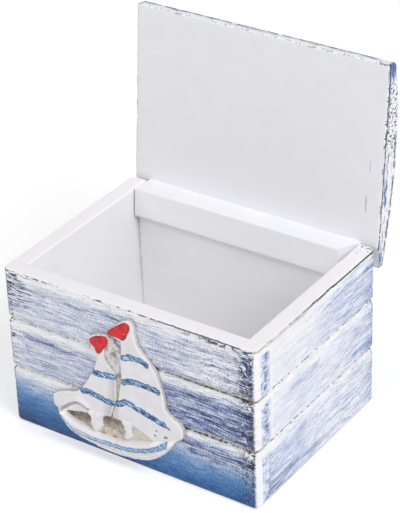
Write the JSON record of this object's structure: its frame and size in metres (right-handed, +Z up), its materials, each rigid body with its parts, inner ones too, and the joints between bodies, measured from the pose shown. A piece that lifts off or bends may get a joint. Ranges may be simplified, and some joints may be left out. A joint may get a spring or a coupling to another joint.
{
  "type": "treasure chest",
  "caption": "Small wooden treasure chest with plank grooves, distressed white and blue paint, a domed lid pinned at the back, open interior and a cast sailboat on the front.",
  "frame": {"origin": "centre of the body's footprint, on the surface the chest stands on; the lid and the sailboat don't shift it", "axes": "+Z up; -Y out of the front, where the sailboat is; +X along the width, to the right of someone facing the front"},
  "size_m": [0.11, 0.1016, 0.138],
  "materials": {
    "painted_wood": "satin paint, brushed blue over white, rubbed through at the edges",
    "steel_wire": "plain drawn wire",
    "cast_resin": "hand painted, off-white with a beige wash"
  },
  "bodies": {
    "box": {"front_wall": "painted_wood", "back_wall": "painted_wood", "left_wall": "painted_wood", "right_wall": "painted_wood", "bottom_board": "painted_wood", "hinge_pin_left": "steel_wire", "hinge_pin_right": "steel_wire", "front_brads": "steel_wire", "back_brads": "steel_wire", "bottom_brads": "steel_wire", "bottom_side_brads": "steel_wire", "sailboat": "cast_resin"},
    "lid": {"lid": "painted_wood", "hinge_rail": "painted_wood", "rail_brads": "steel_wire"}
  },
  "joints": [
    {"name": "lid_hinge", "type": "hinge", "parent": "box", "child": "lid", "pos_m": [0, 0.0354, 0.0613], "axis": [1, 0, 0], "range_deg": [0, 95.7]}
  ]
}
